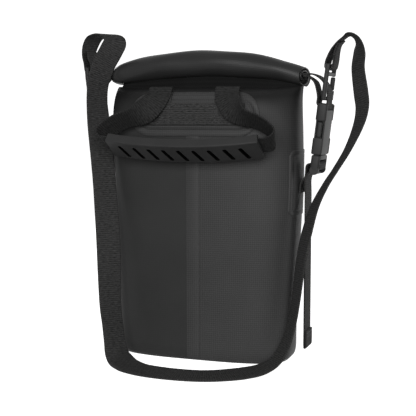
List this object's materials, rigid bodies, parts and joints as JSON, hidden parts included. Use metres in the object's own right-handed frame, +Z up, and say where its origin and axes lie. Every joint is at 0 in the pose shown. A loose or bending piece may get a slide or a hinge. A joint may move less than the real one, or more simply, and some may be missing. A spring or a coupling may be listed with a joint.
{
  "type": "roll-top dry bag",
  "caption": "Waterproof roll-top dry bag with side-release buckles, a slotted grip handle and a clip-on webbing shoulder strap, for carrying gear in the wet.",
  "frame": {"origin": "centre of the base's underside", "axes": "+Z up, +X to the right of someone who faces the handle, the handle faces -Y"},
  "size_m": [0.31, 0.165, 0.3348],
  "materials": {
    "coated_fabric": "matte coated weave",
    "welded_patch": "matte welded film",
    "webbing": "woven webbing",
    "moulded_plastic": "satin moulded"
  },
  "bodies": {
    "root": {"bag_body": "coated_fabric", "base_panel": "coated_fabric", "seam_strip": "welded_patch", "collar": "coated_fabric", "handle_patch": "welded_patch", "handle_anchor": "webbing", "left_handle_riser": "webbing", "right_handle_riser": "webbing", "left_side_patch": "welded_patch", "right_side_patch": "welded_patch", "left_side_strap": "webbing", "right_side_strap": "webbing", "shoulder_strap": "webbing"},
    "roll": {"roll_top": "coated_fabric", "hem_stiffener": "moulded_plastic", "left_end_tab": "webbing", "left_buckle_socket": "moulded_plastic", "left_buckle_plug": "moulded_plastic", "left_snap_hook": "moulded_plastic", "right_end_tab": "webbing", "right_buckle_socket": "moulded_plastic", "right_buckle_plug": "moulded_plastic", "right_snap_hook": "moulded_plastic"},
    "handle": {"handle_webbing": "webbing", "handle_grip": "moulded_plastic"},
    "right_arm_front": {"right_buckle_arm_front": "moulded_plastic"},
    "right_arm_rear": {"right_buckle_arm_rear": "moulded_plastic"},
    "right_gate": {"right_hook_gate": "moulded_plastic"},
    "left_arm_front": {"left_buckle_arm_front": "moulded_plastic"},
    "left_arm_rear": {"left_buckle_arm_rear": "moulded_plastic"},
    "left_gate": {"left_hook_gate": "moulded_plastic"}
  },
  "joints": [
    {"name": "handle_swing", "type": "hinge", "parent": "root", "child": "handle", "pos_m": [0, -0.037, 0.275], "axis": [-1, 0, 0], "range_deg": [0, 140]},
    {"name": "roll_lift", "type": "slide", "parent": "root", "child": "roll", "axis": [0, 0, 1], "range_m": [0, 0.05], "deforming": ["collar", "left_side_strap", "right_side_strap", "shoulder_strap"]},
    {"name": "right_front_squeeze", "type": "hinge", "parent": "roll", "child": "right_arm_front", "pos_m": [0.11943, -0.01375, 0.20916], "axis": [-0.9925, 0, 0.1219], "range_deg": [0, 6], "stiffness_Nm_per_rad": 0.2},
    {"name": "right_rear_squeeze", "type": "hinge", "parent": "roll", "child": "right_arm_rear", "pos_m": [0.11943, 0.01375, 0.20916], "axis": [0.9925, 0, -0.1219], "range_deg": [0, 6], "stiffness_Nm_per_rad": 0.2},
    {"name": "right_gate_press", "type": "hinge", "parent": "roll", "child": "right_gate", "pos_m": [0.12707, 0.0155, 0.27134], "axis": [0.9925, 0, -0.1219], "range_deg": [0, 17], "stiffness_Nm_per_rad": 0.05},
    {"name": "left_front_squeeze", "type": "hinge", "parent": "roll", "child": "left_arm_front", "pos_m": [-0.11943, -0.01375, 0.20916], "axis": [-0.9925, 0, -0.1219], "range_deg": [0, 6], "stiffness_Nm_per_rad": 0.2},
    {"name": "left_rear_squeeze", "type": "hinge", "parent": "roll", "child": "left_arm_rear", "pos_m": [-0.11943, 0.01375, 0.20916], "axis": [0.9925, 0, 0.1219], "range_deg": [0, 6], "stiffness_Nm_per_rad": 0.2},
    {"name": "left_gate_press", "type": "hinge", "parent": "roll", "child": "left_gate", "pos_m": [-0.12707, 0.0155, 0.27134], "axis": [0.9925, 0, 0.1219], "range_deg": [0, 17], "stiffness_Nm_per_rad": 0.05}
  ],
  "couplings": [
    {"joint": "right_rear_squeeze", "follows": "right_front_squeeze", "ratio": 1},
    {"joint": "left_rear_squeeze", "follows": "left_front_squeeze", "ratio": 1}
  ]
}
